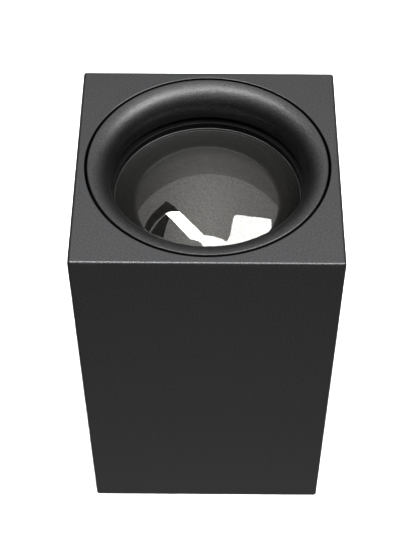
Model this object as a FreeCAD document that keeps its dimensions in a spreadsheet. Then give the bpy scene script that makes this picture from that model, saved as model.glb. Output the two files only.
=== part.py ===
import FreeCAD, Part
import math
import os
import Sketcher

# A low square bollard light in cast aluminium. A round light well opens in the
# top face: a rounded trim ring, a clamped glass dome, and the LED unit, driver
# and terminals below it in a sealed chamber. Millimetres, +Z up, origin at the
# middle of the underside.

driving_sizes = {
    # housing
    "housing_width": 160.0,
    "housing_height": 261.0,
    "wall": 5.0,
    "outer_round": 1.9,
    "well_rim": 5.4,
    "well_edge": 0.5,
    "deck_floor": 5.5,
    "core_wall": 4.6,
    "top_plate": 8.0,
    "ledge_width": 6.0,
    "ledge_height": 6.0,
    "post_side": 15.0,
    "post_height": 34.0,
    "blind_share": 0.8,
    "clamp_hole_depth": 6.0,
    # trim ring, turned by its lugs
    "groove_gap": 1.2,
    "ring_edge": 0.8,
    "flare_radius": 12.9,
    "throat_depth": 20.2,
    "throat_edge": 0.5,
    "ring_wall": 2.8,
    "ring_seal": 1.0,
    "turn_gap": 0.3,
    "lug_angle": 20.0,
    "lug_slack_angle": 2.0,
    "twist_angle": 24.0,
    "stop_angle": 4.0,
    "stop_slack_angle": 0.5,
    "open_stop_slack_angle": 1.5,
    "stop_root": 0.5,
    # clamp ring and lens
    "ledge_gap": 3.1,
    "clamp_inset": 1.8,
    "clamp_depth": 5.2,
    "clamp_flange": 3.0,
    "clamp_foot": 3.8,
    "lens_inset": 0.5,
    "lens_sphere": 104.0,
    "lens_thickness": 4.5,
    "lens_flange": 4.1,
    "lens_gap": 0.5,
    "upper_gasket": 0.8,
    "lower_gasket": 1.5,
    "seat_depth": 3.5,
    "seat_shelf": 8.0,
    "gasket_inset": 1.0,
    "flange_screw_shift": 0.4,
    "clamp_screw_angle": 54.0,
    "clamp_screw_grip": 5.0,
    # light engine
    "pillar_length": 41.0,
    "pillar_radius": 4.5,
    "pillar_inset": 8.0,
    "pillar_chamfer": 0.5,
    "pillar_stud_gap": 1.0,
    "pillar_tapping": 14.0,
    "sink_gap": 17.0,
    "sink_plate": 8.0,
    "sink_round": 6.0,
    "sink_screw_grip": 10.0,
    "tapping_share": 0.75,
    "fin_height": 46.0,
    "fin_thickness": 2.2,
    "fin_inset": 10.0,
    "fin_setback": 2.0,
    "board_width": 24.0,
    "board_thickness": 1.5,
    "emitter_radius": 9.0,
    "emitter_height": 0.6,
    "pad_thickness": 0.5,
    "pad_inset": 0.5,
    "holder_radius": 25.0,
    "holder_height": 4.6,
    "holder_round": 0.8,
    "holder_screw_inset": 4.5,
    "holder_screw_angle": 45.0,
    "holder_screw_grip": 5.0,
    "holder_window_gap": 1.0,
    "holder_board_gap": 0.1,
    "reflector_throat": 11.0,
    "mouth_inset": 4.0,
    "reflector_curve": 62.0,
    "reflector_sheet": 1.2,
    "reflector_flange": 8.5,
    "reflector_screw_angle": 30.0,
    "reflector_screw_grip": 4.0,
    # sealed chamber
    "chamber_level": 40.0,
    "closing_thickness": 4.0,
    "closing_gasket": 2.0,
    "plate_gap": 0.5,
    "closing_round": 1.0,
    "closing_screw_grip": 13.0,
    "driver_length": 104.0,
    "driver_width": 28.0,
    "driver_height": 40.0,
    "driver_lift": 26.0,
    "driver_shift": 2.0,
    "driver_round": 1.5,
    "driver_screw_inset": 8.0,
    "driver_screw_grip": 5.0,
    "driver_hole_depth": 6.0,
    "driver_recess_width": 10.0,
    "driver_recess_margin": 6.0,
    "driver_recess_inset": 14.0,
    "driver_recess_depth": 1.0,
    "bracket_sheet": 2.0,
    "bracket_foot": 26.0,
    "bracket_length": 100.0,
    "bracket_screw_inset": 12.0,
    "terminal_length": 36.0,
    "terminal_width": 22.0,
    "terminal_height": 18.0,
    "terminal_pitch": 11.0,
    "terminal_x": 12.0,
    "terminal_y": -42.0,
    "terminal_step_share": 0.6,
    "terminal_shoulder_share": 0.28,
    "terminal_entry_share": 0.35,
    "terminal_entry_width": 1.6,
    "terminal_head_share": 0.55,
    "terminal_screw_length": 5.0,
    "terminal_slot": 0.8,
    # cable gland, vent and earth stud
    "gland_x": -14.0,
    "gland_y": -2.0,
    "gland_thread": 10.0,
    "gland_flats": 24.0,
    "gland_bore": 6.5,
    "gland_flange": 5.5,
    "gland_reach": 9.0,
    "gland_thread_spare": 6.0,
    "gland_step": 0.5,
    "gland_seal_drop": 3.0,
    "gland_seal_lip": 2.7,
    "gland_seal_inset": 1.0,
    "gland_washer_height": 1.0,
    "gland_washer_width": 4.0,
    "gland_nut_spare": 3.5,
    "locknut_extra": 2.0,
    "locknut_height": 5.0,
    "cable_radius": 4.5,
    "vent_y": 55.0,
    "vent_thread": 6.0,
    "vent_head": 5.0,
    "vent_cap_width": 3.0,
    "vent_round": 1.0,
    "vent_thread_spare": 5.0,
    "vent_floor": 2.0,
    "vent_wall": 2.5,
    "vent_slot": 1.6,
    "vent_slot_depth": 1.2,
    "vent_seal_height": 1.2,
    "vent_seal_width": 2.5,
    "earth_x": 58.0,
    "earth_y": -24.0,
    "earth_radius": 2.5,
    "earth_head": 2.0,
    "earth_stud_length": 17.0,
    "earth_washer_height": 1.0,
    "earth_tongue": 1.0,
    "earth_barrel_reach": 12.0,
    "earth_barrel_wall": 0.8,
    "earth_neck_length": 5.0,
    "earth_neck_width": 3.4,
    "earth_neck_shift": 1.0,
    "earth_nut_flats": 8.0,
    "earth_nut_height": 4.0,
    # base plate
    "base_thickness": 5.0,
    "base_round": 2.0,
    "anchor_spacing": 116.0,
    "anchor_radius": 4.5,
    "cable_opening": 25.0,
    "tab_width": 30.0,
    "tab_thickness": 5.0,
    "tab_height": 24.0,
    "set_screw_level": 14.0,
    "set_screw_spare": 1.5,
    "set_screw_recess": 0.8,
    "set_screw_chamfer": 0.5,
    "set_socket_share": 0.55,
    "set_socket_depth": 3.0,
    # fasteners, by nominal radius
    "m3_radius": 1.5,
    "m4_radius": 2.0,
    "m5_radius": 2.5,
    "m6_radius": 3.0,
    "head_share": 1.75,
    "head_height_share": 1.6,
    "head_chamfer_share": 0.15,
    "socket_share": 0.95,
    "socket_floor_share": 0.4,
    "thread_gap": 0.08,
    "wire_radius": 1.1,
    "joint_gap": 0.3,
}


class Size:
    # A length that carries both its number and the sheet formula it comes from.

    def __init__(self, number, formula):
        self.number = number
        self.formula = formula

    def __add__(self, other):
        other = as_size(other)
        return Size(self.number + other.number, f"({self.formula} + {other.formula})")

    def __sub__(self, other):
        other = as_size(other)
        return Size(self.number - other.number, f"({self.formula} - {other.formula})")

    def __mul__(self, other):
        other = as_size(other)
        return Size(self.number * other.number, f"({self.formula} * {other.formula})")

    def __truediv__(self, other):
        other = as_size(other)
        return Size(self.number / other.number, f"({self.formula} / {other.formula})")

    def __neg__(self):
        return Size(-self.number, f"(0 - {self.formula})")


def as_size(value):
    if isinstance(value, Size):
        return value
    return Size(float(value), repr(float(value)))


def root(size):
    return Size(math.sqrt(size.number), f"sqrt({size.formula})")


def along(radius, angle):
    # The x and y of a point at a radius and an angle in degrees.
    radius, angle = as_size(radius), as_size(angle)
    turn = math.radians(angle.number)
    x = Size(math.cos(turn), f"cos({angle.formula})")
    y = Size(math.sin(turn), f"sin({angle.formula})")
    return radius * x, radius * y


doc = FreeCAD.newDocument("SquareBollardLight")
sheet = doc.addObject("Spreadsheet::Sheet", "Sizes")
for row, (alias, value) in enumerate(driving_sizes.items(), start=1):
    sheet.set(f"A{row}", alias)
    sheet.set(f"B{row}", str(value))
    sheet.setAlias(f"B{row}", alias)
doc.recompute()


class Named:
    # Sizes by name: d.wall is the sheet's wall.
    pass


d = Named()
for alias in driving_sizes:
    setattr(d, alias, Size(float(sheet.get(alias)), f"Sizes.{alias}"))

# Radii and levels that several pieces share.
half_width = d.housing_width / 2
cavity = half_width - d.wall
well_radius = half_width - d.well_rim
ring_outer = well_radius - d.groove_gap
throat_radius = ring_outer - d.ring_edge - d.flare_radius
clamp_inner = throat_radius - d.clamp_inset
lens_radius = clamp_inner - d.lens_inset
lens_outer = lens_radius + d.lens_flange
seat_radius = lens_outer + d.lens_gap
clamp_body = seat_radius + d.clamp_foot
flange_outer = ring_outer - d.ring_wall - d.turn_gap * 2

throat_level = d.housing_height - d.throat_depth
clamp_top = throat_level - d.ledge_gap
lens_level = clamp_top - d.clamp_depth
lip_level = lens_level + d.upper_gasket
lens_bottom = lens_level - d.lens_thickness
seat_level = lens_bottom - d.lower_gasket
deck_level = seat_level + d.seat_depth
deck_under = seat_level - d.deck_floor
flange_under = clamp_top - d.clamp_flange
ring_seat = deck_level + d.ring_seal + d.turn_gap
sink_top = deck_under - d.pillar_length
closing_top = d.chamber_level + d.closing_thickness
gasket_top = closing_top + d.closing_gasket
post_centre = cavity - d.post_side / 2 + d.joint_gap
clamp_screw_circle = (seat_radius + clamp_body) / 2 + d.flange_screw_shift
clamp_screw_count = 6
light_bore = seat_radius - d.seat_shelf
reflector_mouth = light_bore - d.mouth_inset
reflector_screw_circle = (reflector_mouth + d.reflector_sheet + d.reflector_flange / 2
                          + d.flange_screw_shift)
reflector_screw_count = 3
sink_width = (cavity - d.sink_gap) * 2
pillar_half = sink_width / 2 - d.pillar_inset
fin_span = (pillar_half - d.fin_inset) * 2
fin_count = 11
holder_screw_circle = d.holder_radius - d.holder_screw_inset
driver_front = -d.driver_width / 2 - d.driver_shift
driver_level = closing_top + d.driver_lift
driver_middle = driver_level + d.driver_height / 2
driver_screw_x = d.driver_length / 2 - d.driver_screw_inset
bracket_face = driver_front + d.driver_width
bracket_screw_x = d.bracket_length / 2 - d.bracket_screw_inset
bracket_screw_y = bracket_face + d.bracket_sheet + (d.bracket_foot - d.bracket_sheet) / 2
earth_barrel_radius = d.wire_radius + d.earth_barrel_wall
terminal_fixing = d.terminal_pitch / 2
terminal_entry = d.terminal_height * d.terminal_entry_share
anchor_half = d.anchor_spacing / 2
m3_head = d.m3_radius * d.head_height_share
half_turn = (FreeCAD.Vector(1, 0, 0), 180)


def bind(thing, path, size):
    thing.setExpression(path, as_size(size).formula)


def new_body(label, x=0, y=0, z=0):
    body = doc.addObject("PartDesign::Body", label)
    body.Label = label
    for axis, size in (("x", x), ("y", y), ("z", z)):
        bind(body, f"Placement.Base.{axis}", size)
    return body


def sketch_on(body, role, lift=0):
    sketch = body.newObject("Sketcher::SketchObject", body.Name + "Sketch")
    plane = [item for item in body.Origin.OriginFeatures if item.Role == role][0]
    sketch.AttachmentSupport = [(plane, "")]
    sketch.MapMode = "FlatFace"
    bind(sketch, "AttachmentOffset.Base.z", lift)
    return sketch


def limit(sketch, constraint, size):
    index = sketch.addConstraint(constraint)
    sketch.setExpression(f"Constraints[{index}]", size.formula)


def pin_point(sketch, shape, end, x, y):
    limit(sketch, Sketcher.Constraint("DistanceX", -1, 1, shape, end, x.number), x)
    limit(sketch, Sketcher.Constraint("DistanceY", -1, 1, shape, end, y.number), y)


def draw_circle(sketch, radius, x=0, y=0):
    radius, x, y = as_size(radius), as_size(x), as_size(y)
    centre = FreeCAD.Vector(x.number, y.number, 0)
    shape = sketch.addGeometry(Part.Circle(centre, FreeCAD.Vector(0, 0, 1), radius.number))
    pin_point(sketch, shape, 3, x, y)
    limit(sketch, Sketcher.Constraint("Radius", shape, radius.number), radius)


def arc_between(start, end, radius, side):
    # Short arc from start to end; side is +1 when its centre lies to the left.
    middle = (start + end) * 0.5
    chord = end - start
    reach = math.sqrt(max(radius * radius - chord.Length ** 2 / 4, 0.0))
    left = FreeCAD.Vector(-chord.y, chord.x, 0).normalize()
    centre = middle + left * (reach * side)
    circle = Part.Circle(centre, FreeCAD.Vector(0, 0, 1), radius)
    first, last = (start, end) if side > 0 else (end, start)
    return Part.ArcOfCircle(circle, circle.parameter(first), circle.parameter(last))


def draw_outline(sketch, corners):
    # Closed outline. A corner is (x, y), or (x, y, radius, side) where an arc leaves it.
    places = [(as_size(corner[0]), as_size(corner[1])) for corner in corners]
    vectors = [FreeCAD.Vector(x.number, y.number, 0) for x, y in places]
    edges = []
    for index, corner in enumerate(corners):
        start, end = vectors[index], vectors[(index + 1) % len(corners)]
        if len(corner) == 2:
            edges.append((sketch.addGeometry(Part.LineSegment(start, end)), 1, 2))
            continue
        radius, side = as_size(corner[2]), corner[3]
        shape = sketch.addGeometry(arc_between(start, end, radius.number, side))
        edges.append((shape, 1, 2) if side > 0 else (shape, 2, 1))
        limit(sketch, Sketcher.Constraint("Radius", shape, radius.number), radius)
    for index, (shape, first, last) in enumerate(edges):
        following, start, end = edges[(index + 1) % len(edges)]
        sketch.addConstraint(Sketcher.Constraint("Coincident", shape, last, following, start))
        pin_point(sketch, shape, first, *places[index])


def draw_rectangle(sketch, width, depth, x=0, y=0):
    width, depth, x, y = as_size(width), as_size(depth), as_size(x), as_size(y)
    left, right = x - width / 2, x + width / 2
    front, back = y - depth / 2, y + depth / 2
    draw_outline(sketch, [(left, front), (right, front), (right, back), (left, back)])


def draw_hexagon(sketch, flats, x=0, y=0):
    reach = as_size(flats) / math.sqrt(3)
    points = [along(reach, 60 * turn) for turn in range(6)]
    draw_outline(sketch, [(as_size(x) + across, as_size(y) + up) for across, up in points])


def draw_sector(sketch, inner, outer, start_angle, end_angle):
    start_inner, start_outer = along(inner, start_angle), along(outer, start_angle)
    end_inner, end_outer = along(inner, end_angle), along(outer, end_angle)
    draw_outline(sketch, [start_inner, (*start_outer, outer, 1), end_outer, (*end_inner, inner, -1)])


def add_feature(body, kind, sketch, length, reverse):
    feature = body.newObject(f"PartDesign::{kind}", body.Name + kind)
    feature.Profile = sketch
    feature.Reversed = reverse
    if length is None:
        feature.Type = "ThroughAll"
    else:
        bind(feature, "Length", length)
    body.Tip = feature
    doc.recompute()
    return feature


def pad(body, sketch, length, reverse=False):
    return add_feature(body, "Pad", sketch, length, reverse)


def pocket(body, sketch, length=None, reverse=False):
    before = body.Shape.Volume
    feature = add_feature(body, "Pocket", sketch, length, reverse)
    if body.Shape.Volume > before - 1e-6:
        raise RuntimeError(f"{feature.Name} cuts nothing")
    return feature


def repeat_round(body, feature, count, angle=360):
    pattern = body.newObject("PartDesign::PolarPattern", body.Name + "Ring")
    pattern.Originals = [feature]
    axis = [item for item in body.Origin.OriginFeatures if item.Role == "Z_Axis"][0]
    pattern.Axis = (axis, [""])
    pattern.Angle = angle
    pattern.Occurrences = count
    body.Tip = pattern
    doc.recompute()
    return pattern


def repeat_along(body, feature, role, length, count):
    pattern = body.newObject("PartDesign::LinearPattern", body.Name + "Row")
    pattern.Originals = [feature]
    axis = [item for item in body.Origin.OriginFeatures if item.Role == role][0]
    pattern.Direction = (axis, [""])
    bind(pattern, "Length", length)
    pattern.Occurrences = count
    body.Tip = pattern
    doc.recompute()
    return pattern


def soften(body, radius, wanted):
    # Rounds the edges that the test picks.
    base = body.Tip
    names = [f"Edge{n}" for n, edge in enumerate(base.Shape.Edges, start=1) if wanted(edge)]
    fillet = body.newObject("PartDesign::Fillet", body.Name + "Fillet")
    fillet.Base = (base, names)
    bind(fillet, "Radius", radius)
    body.Tip = fillet
    doc.recompute()
    return fillet


def is_upright(edge):
    box = edge.BoundBox
    return box.XLength < 1e-6 and box.YLength < 1e-6


def turned(label, corners, z):
    body = new_body(label, z=z)
    sketch = sketch_on(body, "XZ_Plane")
    draw_outline(sketch, corners)
    turn = body.newObject("PartDesign::Revolution", label + "Turn")
    turn.Profile = sketch
    turn.ReferenceAxis = (sketch, ["V_Axis"])
    turn.Angle = 360
    body.Tip = turn
    doc.recompute()
    return body


def flat_ring(label, inner, outer, thickness, z):
    return turned(label, [(inner, 0), (outer, 0), (outer, thickness), (inner, thickness)], z)


def square_ring(label, inner_half, outer_half, thickness, z, hole_radius, hole_half):
    body = new_body(label, z=z)
    sketch = sketch_on(body, "XY_Plane")
    draw_rectangle(sketch, outer_half * 2, outer_half * 2)
    draw_rectangle(sketch, inner_half * 2, inner_half * 2)
    pad(body, sketch, thickness)
    corner_pads = sketch_on(body, "XY_Plane")
    side = outer_half - inner_half + hole_radius * 2
    draw_rectangle(corner_pads, side, side, outer_half - side / 2, outer_half - side / 2)
    repeat_round(body, pad(body, corner_pads, thickness), 4)
    hole = sketch_on(body, "XY_Plane")
    draw_circle(hole, hole_radius, hole_half, hole_half)
    repeat_round(body, pocket(body, hole, reverse=True), 4)
    return body


def corner_points(half):
    return [(half * across, half * up) for across in (-1, 1) for up in (-1, 1)]


def hex_prism(radius, depth):
    corners = [FreeCAD.Vector(*[n.number for n in along(radius, 60 * turn)], 0) for turn in range(7)]
    return Part.Face(Part.makePolygon(corners)).extrude(FreeCAD.Vector(0, 0, depth))


def socket_screw(radius, length, head_height=None):
    # Cap screw that points down, its head standing on z = 0.
    radius = radius - d.thread_gap.number
    head_radius = radius * d.head_share.number
    head_height = radius * d.head_height_share.number if head_height is None else head_height
    shank = Part.makeCylinder(radius, length, FreeCAD.Vector(0, 0, -length))
    head = Part.makeCylinder(head_radius, head_height)
    rim = [edge for edge in head.Edges if edge.BoundBox.ZMin > head_height - 1e-6]
    head = head.makeChamfer(radius * d.head_chamfer_share.number, rim)
    socket = hex_prism(radius * d.socket_share.number, head_height)
    socket.translate(FreeCAD.Vector(0, 0, head_height * d.socket_floor_share.number))
    return shank.fuse(head).removeSplitter().cut(socket)


def fastener_group(label, solid, places, turn=None, z=0):
    # Identical fasteners as separate solids in one node.
    group = doc.addObject("Part::Feature", label)
    copies = []
    for place in places:
        copy = solid.copy()
        if turn is not None:
            copy.rotate(FreeCAD.Vector(), *turn)
        copy.translate(FreeCAD.Vector(*place))
        copies.append(copy)
    group.Shape = Part.makeCompound(copies)
    group.Label = label
    group.Placement = FreeCAD.Placement(FreeCAD.Vector(0, 0, as_size(z).number), FreeCAD.Rotation())
    return group


def ring_places(circle, start, count):
    places = []
    for step in range(count):
        x, y = along(circle, as_size(start) + 360 / count * step)
        places.append((x.number, y.number, 0))
    return places


def corner_places(half):
    return [(x.number, y.number, 0) for x, y in corner_points(half)]


def housing():
    body = new_body("housing")
    block = sketch_on(body, "XY_Plane")
    draw_rectangle(block, d.housing_width, d.housing_width)
    pad(body, block, d.housing_height)
    top = d.housing_height.number
    soften(body, d.outer_round, lambda edge: is_upright(edge) or edge.BoundBox.ZMin > top - 1e-6)
    chamber = sketch_on(body, "XY_Plane")
    draw_rectangle(chamber, cavity * 2, cavity * 2)
    pocket(body, chamber, deck_under, reverse=True)
    well = sketch_on(body, "XY_Plane", d.housing_height)
    draw_circle(well, well_radius)
    pocket(body, well, d.housing_height - deck_level)
    soften(body, d.well_edge, lambda edge: on_circle(edge, well_radius.number, top))
    seat = sketch_on(body, "XY_Plane", deck_level)
    draw_circle(seat, seat_radius)
    pocket(body, seat, d.seat_depth)
    opening = sketch_on(body, "XY_Plane", deck_level)
    draw_circle(opening, light_bore)
    pocket(body, opening, deck_level - deck_under)
    housing_corner_cores(body)
    housing_ledge_and_posts(body)
    housing_holes(body)
    return body


def on_circle(edge, radius, level):
    box = edge.BoundBox
    round_edge = abs(box.XLength - 2 * radius) < 1e-3 and abs(box.YLength - 2 * radius) < 1e-3
    return round_edge and abs(box.ZMin - level) < 1e-3 and abs(box.ZMax - level) < 1e-3


def housing_corner_cores(body):
    # The casting is cored out in each corner beside the round well.
    core_radius = well_radius + d.core_wall
    core_start = root(core_radius * core_radius - cavity * cavity)
    core = sketch_on(body, "XY_Plane", deck_under)
    draw_outline(core, [
        (cavity, core_start),
        (cavity, cavity),
        (core_start, cavity, core_radius, -1),
    ])
    depth = d.housing_height - d.top_plate - deck_under
    repeat_round(body, pocket(body, core, depth, reverse=True), 4)


def housing_ledge_and_posts(body):
    ledge = sketch_on(body, "XY_Plane", gasket_top)
    draw_rectangle(ledge, cavity * 2 + d.wall, cavity * 2 + d.wall)
    draw_rectangle(ledge, (cavity - d.ledge_width) * 2, (cavity - d.ledge_width) * 2)
    pad(body, ledge, d.ledge_height)
    post = sketch_on(body, "XY_Plane", gasket_top)
    draw_rectangle(post, d.post_side, d.post_side, post_centre, post_centre)
    repeat_round(body, pad(body, post, d.post_height), 4)


def housing_holes(body):
    for radius, x, y, level, depth, upward, count in (
        (d.m5_radius, post_centre, post_centre, gasket_top, d.post_height / 2, True, 4),
        (d.m5_radius, pillar_half, pillar_half, deck_under, d.deck_floor, True, 4),
        (d.m3_radius, *along(reflector_screw_circle, d.reflector_screw_angle), deck_under,
         d.deck_floor * d.blind_share, True, reflector_screw_count),
        (d.m3_radius, *along(clamp_screw_circle, d.clamp_screw_angle), deck_level,
         d.clamp_hole_depth, False, clamp_screw_count),
    ):
        hole = sketch_on(body, "XY_Plane", level)
        draw_circle(hole, radius, x, y)
        repeat_round(body, pocket(body, hole, depth, reverse=upward), count)
    side_hole = sketch_on(body, "YZ_Plane")
    draw_circle(side_hole, d.m6_radius + d.thread_gap, 0, d.set_screw_level)
    side = pocket(body, side_hole, half_width)
    repeat_round(body, side, 2)


def trim_ring():
    height = d.housing_height - ring_seat
    flare_centre = height - d.flare_radius
    skirt_inner = ring_outer - d.ring_wall
    inner_flare = d.flare_radius - d.ring_wall
    offset = d.ring_wall - d.ring_edge
    inside_top = flare_centre + root(inner_flare * inner_flare - offset * offset)
    throat = throat_level - ring_seat
    body = turned("trim_ring", [
        (throat_radius, throat + d.throat_edge),
        (throat_radius, flare_centre, d.flare_radius, -1),
        (ring_outer - d.ring_edge, height, d.ring_edge, -1),
        (ring_outer, height - d.ring_edge),
        (ring_outer, 0),
        (skirt_inner, 0),
        (skirt_inner, inside_top, inner_flare, 1),
        (throat_radius + d.ring_wall, flare_centre),
        (throat_radius + d.ring_wall, throat),
        (throat_radius + d.throat_edge, throat, d.throat_edge, -1),
    ], ring_seat)
    lug = sketch_on(body, "XY_Plane")
    lug_inner = clamp_body + d.turn_gap * 2
    draw_sector(lug, lug_inner, skirt_inner + d.ring_wall / 2, -d.lug_angle / 2, d.lug_angle / 2)
    repeat_round(body, pad(body, lug, flange_under - d.turn_gap - ring_seat), 3)
    return body


def lens_clamp_ring():
    lip = lip_level - deck_level
    under = flange_under - deck_level
    height = clamp_top - deck_level
    body = turned("lens_clamp_ring", [
        (seat_radius, 0),
        (clamp_body, 0),
        (clamp_body, under),
        (flange_outer, under),
        (flange_outer, height),
        (clamp_inner, height),
        (clamp_inner, lip),
        (seat_radius, lip),
    ], deck_level)
    notch = sketch_on(body, "XY_Plane", under)
    half_notch = d.lug_angle / 2 + d.lug_slack_angle
    outer = flange_outer + d.ring_wall / 2
    inner = clamp_body + d.turn_gap
    draw_sector(notch, inner, outer, d.twist_angle - half_notch, d.twist_angle + half_notch)
    repeat_round(body, pocket(body, notch, d.clamp_flange, reverse=True), 3)
    locked = -(d.lug_angle / 2 + d.stop_slack_angle)
    opened = d.twist_angle + d.lug_angle / 2 + d.open_stop_slack_angle
    stop_height = d.clamp_flange + under - d.ring_seal - d.turn_gap
    for start, end in ((locked - d.stop_angle, locked), (opened, opened + d.stop_angle)):
        stop = sketch_on(body, "XY_Plane", height)
        draw_sector(stop, clamp_body - d.stop_root, flange_outer - d.turn_gap, start, end)
        repeat_round(body, pad(body, stop, stop_height, reverse=True), 3)
    x, y = along(clamp_screw_circle, d.clamp_screw_angle)
    hole = sketch_on(body, "XY_Plane")
    draw_circle(hole, d.m3_radius + d.thread_gap, x, y)
    repeat_round(body, pocket(body, hole, reverse=True), clamp_screw_count)
    sink = sketch_on(body, "XY_Plane", height)
    draw_circle(sink, d.m3_radius * d.head_share + d.thread_gap, x, y)
    repeat_round(body, pocket(body, sink, m3_head), clamp_screw_count)
    return body


def lens():
    # Glass dome of even thickness with a flat flange at its rim.
    outer_drop = root(d.lens_sphere * d.lens_sphere - lens_radius * lens_radius)
    centre = d.lens_thickness - outer_drop
    inner_sphere = d.lens_sphere - d.lens_thickness
    inner_radius = root(inner_sphere * inner_sphere - centre * centre)
    return turned("lens", [
        (0, centre + inner_sphere, inner_sphere, -1),
        (inner_radius, 0),
        (lens_outer, 0),
        (lens_outer, d.lens_thickness),
        (lens_radius, d.lens_thickness, d.lens_sphere, 1),
        (0, centre + d.lens_sphere),
    ], lens_bottom)


def gaskets():
    gap = d.joint_gap
    flat_ring("lens_lower_gasket", light_bore + d.gasket_inset, lens_outer, d.lower_gasket, seat_level)
    flat_ring("lens_upper_gasket", lens_radius + d.gasket_inset, lens_outer, d.upper_gasket,
              lens_level)
    flat_ring("trim_ring_seal", ring_outer - d.ring_wall, ring_outer, d.ring_seal, deck_level)
    square_ring("closing_plate_gasket", cavity - d.ledge_width, cavity - gap, d.closing_gasket,
                closing_top, d.m5_radius + gap, post_centre)


def clamp_ring_screws():
    seat = clamp_top - m3_head
    length = seat - deck_level + d.clamp_screw_grip
    screw = socket_screw(d.m3_radius.number, length.number, m3_head.number)
    places = ring_places(clamp_screw_circle, d.clamp_screw_angle, clamp_screw_count)
    fastener_group("clamp_ring_screws", screw, places, z=seat)


def reflector():
    height = deck_under - sink_top - d.holder_height - d.joint_gap
    flange = d.reflector_sheet
    outer = reflector_mouth + d.reflector_sheet + d.reflector_flange
    body = turned("reflector", [
        (d.reflector_throat, 0, d.reflector_curve, 1),
        (reflector_mouth, height),
        (outer, height),
        (outer, height - flange),
        (reflector_mouth + d.reflector_sheet, height - flange, d.reflector_curve, -1),
        (d.reflector_throat + d.reflector_sheet, 0),
    ], deck_under - height)
    screw_x, screw_y = along(reflector_screw_circle, d.reflector_screw_angle)
    hole = sketch_on(body, "XY_Plane", height)
    draw_circle(hole, d.m3_radius + d.thread_gap, screw_x, screw_y)
    repeat_round(body, pocket(body, hole, flange * 2), reflector_screw_count)
    screw = socket_screw(d.m3_radius.number, (flange + d.reflector_screw_grip).number)
    places = ring_places(reflector_screw_circle, d.reflector_screw_angle, reflector_screw_count)
    fastener_group("reflector_screws", screw, places, half_turn, deck_under - flange)


def light_engine():
    thermal_pad = new_body("thermal_pad", z=sink_top)
    outline = sketch_on(thermal_pad, "XY_Plane")
    side = d.board_width - d.pad_inset * 2
    draw_rectangle(outline, side, side)
    pad(thermal_pad, outline, d.pad_thickness)
    board = new_body("led_board", z=sink_top + d.pad_thickness)
    outline = sketch_on(board, "XY_Plane")
    draw_rectangle(outline, d.board_width, d.board_width)
    pad(board, outline, d.board_thickness)
    emitter = sketch_on(board, "XY_Plane", d.board_thickness)
    draw_circle(emitter, d.emitter_radius)
    pad(board, emitter, d.emitter_height)
    soften(board, d.board_thickness, is_upright)
    led_holder()


def led_holder():
    screw_x, screw_y = along(holder_screw_circle, d.holder_screw_angle)
    holder = new_body("led_holder", z=sink_top)
    disc = sketch_on(holder, "XY_Plane")
    draw_circle(disc, d.holder_radius)
    pad(holder, disc, d.holder_height)
    top = d.holder_height.number
    soften(holder, d.holder_round, lambda edge: edge.BoundBox.ZMin > top - 1e-6)
    pocket_side = d.board_width + d.joint_gap * 2
    recess = sketch_on(holder, "XY_Plane")
    draw_rectangle(recess, pocket_side, pocket_side)
    depth = d.pad_thickness + d.board_thickness + d.holder_board_gap
    pocket(holder, recess, depth, reverse=True)
    window = sketch_on(holder, "XY_Plane")
    draw_circle(window, d.emitter_radius + d.holder_window_gap)
    pocket(holder, window, reverse=True)
    hole = sketch_on(holder, "XY_Plane")
    draw_circle(hole, d.m3_radius + d.thread_gap, screw_x, screw_y)
    repeat_round(holder, pocket(holder, hole, reverse=True), 2)
    counterbore = sketch_on(holder, "XY_Plane", d.holder_height)
    draw_circle(counterbore, d.m3_radius * d.head_share + d.thread_gap, screw_x, screw_y)
    repeat_round(holder, pocket(holder, counterbore, m3_head), 2)
    length = d.holder_height - m3_head + d.holder_screw_grip
    screw = socket_screw(d.m3_radius.number, length.number, m3_head.number)
    places = ring_places(holder_screw_circle, d.holder_screw_angle, 2)
    fastener_group("led_holder_screws", screw, places, z=sink_top + d.holder_height - m3_head)


def heat_sink():
    body = new_body("heat_sink", z=sink_top - d.sink_plate)
    plate = sketch_on(body, "XY_Plane")
    draw_rectangle(plate, sink_width, sink_width)
    pad(body, plate, d.sink_plate)
    soften(body, d.sink_round, is_upright)
    fin = sketch_on(body, "XY_Plane")
    fin_start = -fin_span / 2
    draw_rectangle(fin, d.fin_thickness, sink_width - d.fin_setback * 2, fin_start)
    repeat_along(body, pad(body, fin, d.fin_height, reverse=True), "X_Axis", fin_span, fin_count)
    hole = sketch_on(body, "XY_Plane")
    draw_circle(hole, d.m4_radius + d.thread_gap, pillar_half, pillar_half)
    repeat_round(body, pocket(body, hole, d.sink_plate, reverse=True), 4)
    tapped = sketch_on(body, "XY_Plane", d.sink_plate)
    draw_circle(tapped, d.m3_radius, *along(holder_screw_circle, d.holder_screw_angle))
    repeat_round(body, pocket(body, tapped, d.sink_plate * d.tapping_share), 2)
    heat_sink_pillars()
    screw = socket_screw(d.m4_radius.number, (d.sink_plate + d.sink_screw_grip).number)
    fastener_group("heat_sink_screws", screw, corner_places(pillar_half), half_turn,
                   sink_top - d.sink_plate)


def heat_sink_pillars():
    length, radius = d.pillar_length.number, d.pillar_radius.number
    stud_radius = d.m5_radius.number - d.thread_gap.number
    pillar = Part.makeCylinder(radius, length)
    ends = [edge for edge in pillar.Edges if edge.BoundBox.ZLength < 1e-6]
    pillar = pillar.makeChamfer(d.pillar_chamfer.number, ends)
    stud_length = length + (d.deck_floor - d.pillar_stud_gap).number
    pillar = pillar.fuse(Part.makeCylinder(stud_radius, stud_length))
    pillar = pillar.cut(Part.makeCylinder(d.m4_radius.number, d.pillar_tapping.number))
    fastener_group("heat_sink_pillars", pillar.removeSplitter(), corner_places(pillar_half), z=sink_top)


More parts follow.
